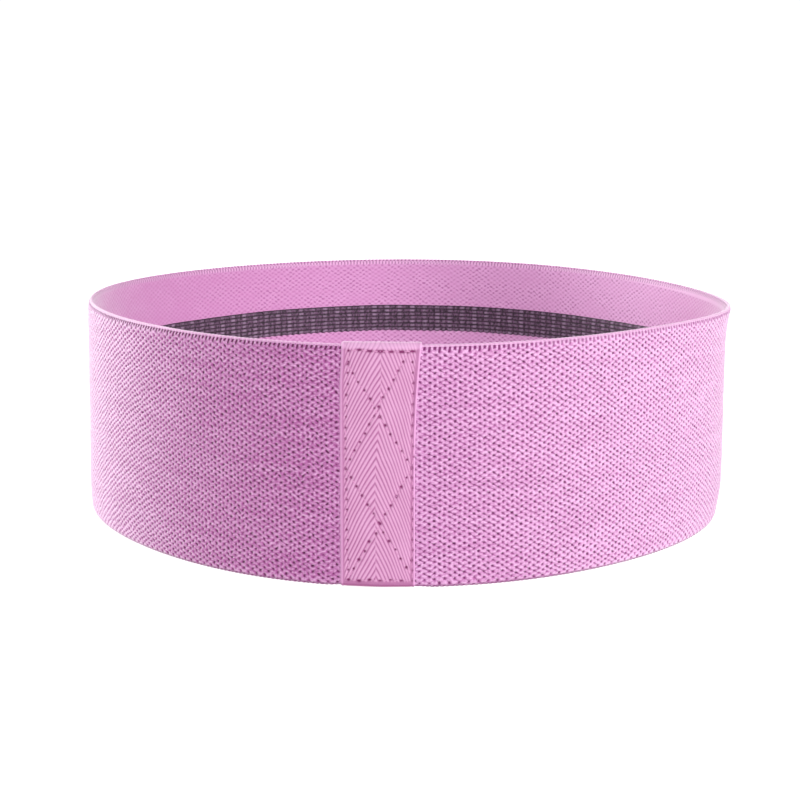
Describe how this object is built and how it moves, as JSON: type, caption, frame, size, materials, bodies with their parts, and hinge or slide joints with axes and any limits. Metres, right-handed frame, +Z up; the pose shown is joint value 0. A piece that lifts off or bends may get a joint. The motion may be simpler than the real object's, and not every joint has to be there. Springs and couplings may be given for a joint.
{
  "type": "resistance band",
  "caption": "Wide woven elastic loop with rubber grip strips inside and a taped, box-stitched seam, that stretches open round the legs or hips.",
  "frame": {"origin": "on the surface the loop stands on, under the middle of the box round the loop", "axes": "+Z up across the width of the webbing; -Y from the middle of the loop towards the stitched seam; +X to the right when looking at the seam"},
  "size_m": [0.2418, 0.2533, 0.0816],
  "materials": {
    "cloth": "double-woven elastic cloth in orchid pink, matt with a soft sheen",
    "grip": "dark purple-grey rubber cords woven in, matt",
    "latex": "natural latex, matt",
    "tape": "herringbone twill tape in paler pink, matt",
    "thread": "polyester sewing thread, slight sheen"
  },
  "bodies": {
    "seam_side": {"seam_right_outer_cloth": "cloth", "seam_right_inner_cloth": "cloth", "seam_right_rubber_core": "latex", "seam_right_top_selvedge": "cloth", "seam_right_bottom_selvedge": "cloth", "seam_right_upper_grip_strip": "grip", "seam_right_lower_grip_strip": "grip", "right_span_outer_cloth": "cloth", "right_span_inner_cloth": "cloth", "right_span_rubber_core": "latex", "right_span_top_selvedge": "cloth", "right_span_bottom_selvedge": "cloth", "right_span_upper_grip_strip": "grip", "right_span_lower_grip_strip": "grip", "left_span_outer_cloth": "cloth", "left_span_inner_cloth": "cloth", "left_span_rubber_core": "latex", "left_span_top_selvedge": "cloth", "left_span_bottom_selvedge": "cloth", "left_span_upper_grip_strip": "grip", "left_span_lower_grip_strip": "grip", "seam_left_outer_cloth": "cloth", "seam_left_inner_cloth": "cloth", "seam_left_rubber_core": "latex", "seam_left_top_selvedge": "cloth", "seam_left_bottom_selvedge": "cloth", "seam_left_upper_grip_strip": "grip", "seam_left_lower_grip_strip": "grip", "seam_tape": "tape", "seam_box_needle_thread": "thread", "seam_first_zigzag_needle_thread": "thread", "seam_second_zigzag_needle_thread": "thread", "seam_box_bobbin_thread": "thread", "seam_first_zigzag_bobbin_thread": "thread", "seam_second_zigzag_bobbin_thread": "thread"},
    "far_side": {"far_side_outer_cloth": "cloth", "far_side_inner_cloth": "cloth", "far_side_rubber_core": "latex", "far_side_top_selvedge": "cloth", "far_side_bottom_selvedge": "cloth", "far_side_upper_grip_strip": "grip", "far_side_lower_grip_strip": "grip"}
  },
  "joints": [
    {"name": "loop_stretch", "type": "slide", "parent": "seam_side", "child": "far_side", "axis": [0, 1, 0], "range_m": [0, 0.13], "stiffness_N_per_m": 600, "deforming": ["right_span_outer_cloth", "right_span_inner_cloth", "right_span_rubber_core", "right_span_top_selvedge", "right_span_bottom_selvedge", "right_span_upper_grip_strip", "right_span_lower_grip_strip", "left_span_outer_cloth", "left_span_inner_cloth", "left_span_rubber_core", "left_span_top_selvedge", "left_span_bottom_selvedge", "left_span_upper_grip_strip", "left_span_lower_grip_strip"]}
  ]
}
